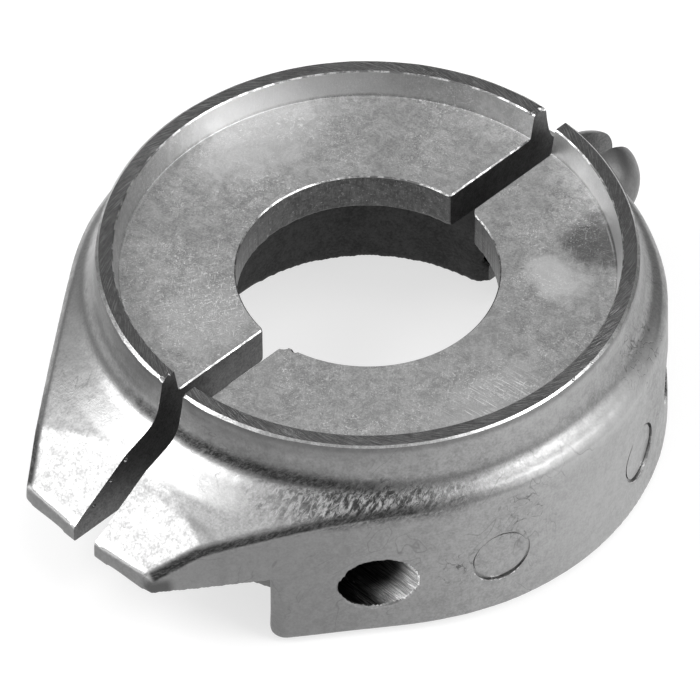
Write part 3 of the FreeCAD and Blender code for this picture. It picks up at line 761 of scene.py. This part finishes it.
def bore_wall():
    made, tree, shader, place = metal("bore_wall")
    from_axis, around, split = polar(tree, place)
    texture = use(tree, grain, {"Place": place, "Fine": 1500.0, "Stain": 70.0})
    marks = use(tree, strokes, {"Along": split.outputs[2], "Across": around, "Length": 3 * MM,
                                "Width": 0.4 * MM, "Rarity": 0.6})["Mask"]
    tone = plus(tree, times(tree, texture["Tone"], 0.08), times(tree, marks, 0.12))
    specks = ramp(tree, speckle(tree, place, 1500.0, 3.0, 0.7, 1.0), 0.62, 0.7)
    tone = blend(tree, plus(tree, tone, 0.06), specks, 0.6, 0.5)
    tree.links.new(grey(tree, tone), shader.inputs["Base Color"])
    shader.inputs["Roughness"].default_value = 0.4
    bump(tree, shader, texture["Height"], 0.1 * MM)
    return made


def drilled_wall():
    made, tree, shader, place = metal("drilled_wall")
    from_axis, around, split = polar(tree, place)
    across = plus(tree, split.outputs[1], split.outputs[2])
    streaks = use(tree, strokes, {"Along": split.outputs[0], "Across": across, "Length": 12 * MM,
                                  "Width": 0.3 * MM, "Rarity": 0.45})["Mask"]
    # Painted light and shade: the drilled wall is near black deep in the hole and on its outer side, and
    # painted light near the mouth on the side towards the collar's middle.
    outward = less(tree, math_node(tree, "ABSOLUTE", split.outputs[1]), screw_offset)
    near_mouth = ramp(tree, from_axis, 61.5 * MM, 65.5 * MM)
    mouth_highlight = times(tree, ramp(tree, outward, -4.5 * MM, 0.5 * MM, 1.0, 0.0), near_mouth)
    tone = plus(tree, times(tree, streaks, 0.4), 0.55)
    tone = blend(tree, times(tree, streaks, 0.05), mouth_highlight, tone)
    tree.links.new(grey(tree, plus(tree, tone, 0.03)), shader.inputs["Base Color"])
    shader.inputs["Roughness"].default_value = 0.3
    bump(tree, shader, streaks, 0.08 * MM)
    return made


def broken_edge():
    made, tree, shader, place = metal("broken_edge")
    texture = use(tree, grain, {"Place": place, "Fine": 2600.0, "Stain": 300.0})
    tone = plus(tree, times(tree, texture["Tone"], 0.4), 0.45)
    from_axis, around, split = polar(tree, place)
    nicked = ramp(tree, speckle(tree, place, 420.0, 3.0, 0.6), 0.42, 0.56)
    nicked = times(tree, nicked, ramp(tree, from_axis, 57.2 * MM, 58.2 * MM, 0.85, 0.22))
    tone = blend(tree, tone, nicked, 0.15)
    tree.links.new(grey(tree, tone), shader.inputs["Base Color"])
    shader.inputs["Roughness"].default_value = 0.3
    bump(tree, shader, texture["Height"], 0.1 * MM)
    return made


finishes = [cast_skin(), milled_rim(), dish_face(),
            # The sawn faces are painted darker than bare metal for the shade in the narrow slit.
            plain_finish("sawn_slit", 1800.0, 80.0, 0.12, 0.09, 0.42, 0.1 * MM),
            bore_wall(), drilled_wall(),
            # The skin in the recess under the fin is painted near black as shade.
            plain_finish("shaded_inner_skin", 1500.0, 60.0, 0.03, 0.025, 0.5, 0.12 * MM),
            broken_edge()]
CAST, RIM, DISH, SLIT, BORE, DRILLED, INNER, EDGE = range(8)
recess_radius = 52.4 * MM
break_zone = 1.6 * MM
step_zone = 0.8 * MM
wall_slack = 1.0 * MM
level = 0.99
least_slope, most_slope = 0.2, 0.97


def finish_of(middle, normal):
    """Which finish a face has, from its place and the way it looks."""
    to_screw = math.hypot(abs(middle.y) - screw_offset, middle.z - screw_height)
    drilled_radius = head_radius if middle.x > screw_seat - HAIR else shank_radius
    by_screw = to_screw < drilled_radius + 4 * HAIR and middle.x > thread_end - HAIR
    if by_screw and abs(middle.x) > slit_half + HAIR:
        return DRILLED
    if abs(middle.x) < slit_half + HAIR and abs(normal.x) > level:
        return SLIT
    turn = math.atan2(abs(middle.y), abs(middle.x)) - mark_angle
    to_mark = math.hypot(mark_floor * math.sin(turn), middle.z - mark_height)
    on_step = mark_radius - step_zone < to_mark < mark_radius + 4 * HAIR
    # Painted light and shade on the step round a pin mark: its faces that look up take the light edge
    # finish, those that look down the dark sawn one.
    if on_step and abs(normal.z) > least_slope and reach(middle) > rim_radius:
        return EDGE if normal.z > 0 else SLIT
    if normal.z > level and middle.z > rim_top - HAIR:
        return RIM
    outer_break = reach(middle) > rim_radius - break_zone and middle.z > rim_top - break_zone
    slit_break = abs(middle.x) < slit_half + floor_break + HAIR and -edge_break - HAIR < middle.z < HAIR
    bore_break = reach(middle) < bore_cut + edge_break + HAIR and -edge_break - HAIR < middle.z < HAIR
    inner_break = reach(middle) > wall_top_radius - HAIR and middle.z > rim_top - edge_break - HAIR
    if (outer_break or inner_break or slit_break or bore_break) and least_slope < normal.z < most_slope:
        return EDGE
    if reach(middle) < dish_edge_radius + edge_break and middle.z > -HAIR:
        return DISH
    if reach(middle) < bore_radius + wall_slack and middle.z > -flange_thickness:
        return BORE
    # Painted shade: the recess under the fin takes the near-black inner skin.
    if reach(middle) < recess_radius:
        return INNER
    return CAST


for piece, node in ((screw_side, "screw_side_half"), (tapped_side, "tapped_side_half")):
    piece.data.materials.clear()
    for finish in finishes:
        piece.data.materials.append(finish)
    for face in piece.data.polygons:
        face.material_index = finish_of(face.center, face.normal)
    only(piece)
    bpy.ops.object.shade_smooth_by_angle(angle=math.radians(28))
    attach(piece, "root")
    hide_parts(node)

# The studio: a round sheet of pale paper, large soft lamps on the left and the right, and a weak one
# above. The camera stands where the photograph was taken from.
paper_radius = 0.7
paper_tone = 0.36
paper_glow = 0.69
bpy.ops.object.select_all(action="DESELECT")
bpy.ops.mesh.primitive_circle_add(vertices=64, radius=paper_radius, fill_type="NGON",
                                  location=(0, 0, base))
floor = bpy.context.object
floor.name = "studio_floor"
bpy.ops.object.transform_apply(location=True)
paper = bpy.data.materials.new("white_paper")
paper.use_nodes = True
sheet = paper.node_tree
shade = sheet.nodes["Principled BSDF"]
shade.inputs["Base Color"].default_value = (paper_tone, paper_tone, paper_tone, 1)
shade.inputs["Roughness"].default_value = 0.9
shade.inputs["Specular IOR Level"].default_value = 0.0
shade.inputs["Emission Color"].default_value = (1, 1, 1, 1)
rays = add(sheet, "LightPath").outputs
mirrored = most(sheet, rays["Is Glossy Ray"], rays["Is Transmission Ray"])
seen = most(sheet, rays["Is Camera Ray"], mirrored)
sheet.links.new(times(sheet, seen, paper_glow), shade.inputs["Emission Strength"])
floor.data.materials.append(paper)


def soft_lamp(name, azimuth, elevation, distance, width, height, power):
    """A rectangular soft lamp that looks at the collar; azimuth 0 stands at -Y, 90 at +X."""
    lamp = bpy.data.lights.new(name, "AREA")
    lamp.shape = "RECTANGLE"
    lamp.size = width
    lamp.size_y = height
    lamp.energy = power
    stand = bpy.data.objects.new(name, lamp)
    bpy.context.collection.objects.link(stand)
    around, up = math.radians(azimuth), math.radians(elevation)
    way = Vector((math.sin(around) * math.cos(up), -math.cos(around) * math.cos(up), math.sin(up)))
    stand.location = way * distance
    stand.rotation_euler = way.to_track_quat("Z", "Y").to_euler()


soft_lamp("left_softbox", -44, 45, 1.2, 0.7, 0.7, 9)
soft_lamp("right_softbox", 112, 33, 1.2, 0.55, 0.75, 8)
soft_lamp("top_softbox", 80, 78, 1.2, 0.5, 0.4, 2)

# The air round the paper is dim at the horizon and lighter above, and white to the camera.
world = bpy.data.worlds.new("studio_air")
bpy.context.scene.world = world
world.use_nodes = True
air = world.node_tree
high = add(air, "SeparateXYZ", {0: add(air, "TexCoord").outputs["Generated"]}).outputs[2]
dim = ramp(air, high, 0.0, 0.7, 0.02, 0.6)
camera_ray = add(air, "LightPath").outputs["Is Camera Ray"]
air.links.new(most(air, dim, camera_ray), air.nodes["Background"].inputs["Strength"])
air.nodes["Background"].inputs["Color"].default_value = (1, 1, 1, 1)

# The camera's place was fitted to the ellipses of the rim and the bore.
camera_distance = 1.625
aside, above = 0.00396, 0.02243
lens = bpy.data.cameras.new("camera")
lens.sensor_width = 36
lens.lens = 377.7
lens.clip_start = 0.01
camera = bpy.data.objects.new("camera", lens)
bpy.context.collection.objects.link(camera)
azimuth, elevation, roll = math.radians(45.17), math.radians(46.19), math.radians(-0.06)
forward = Vector((-math.sin(azimuth) * math.cos(elevation), math.cos(azimuth) * math.cos(elevation),
                  -math.sin(elevation)))
right = forward.cross(Vector((0, 0, 1))).normalized()
upward = right.cross(forward)
camera.location = Vector((0, 0, rim_top)) - forward * camera_distance - right * aside - upward * above
camera.rotation_euler = forward.to_track_quat("-Z", "Y").to_euler()
camera.rotation_euler.rotate_axis("Z", roll)
bpy.context.scene.camera = camera
bpy.context.scene.view_settings.view_transform = "Standard"
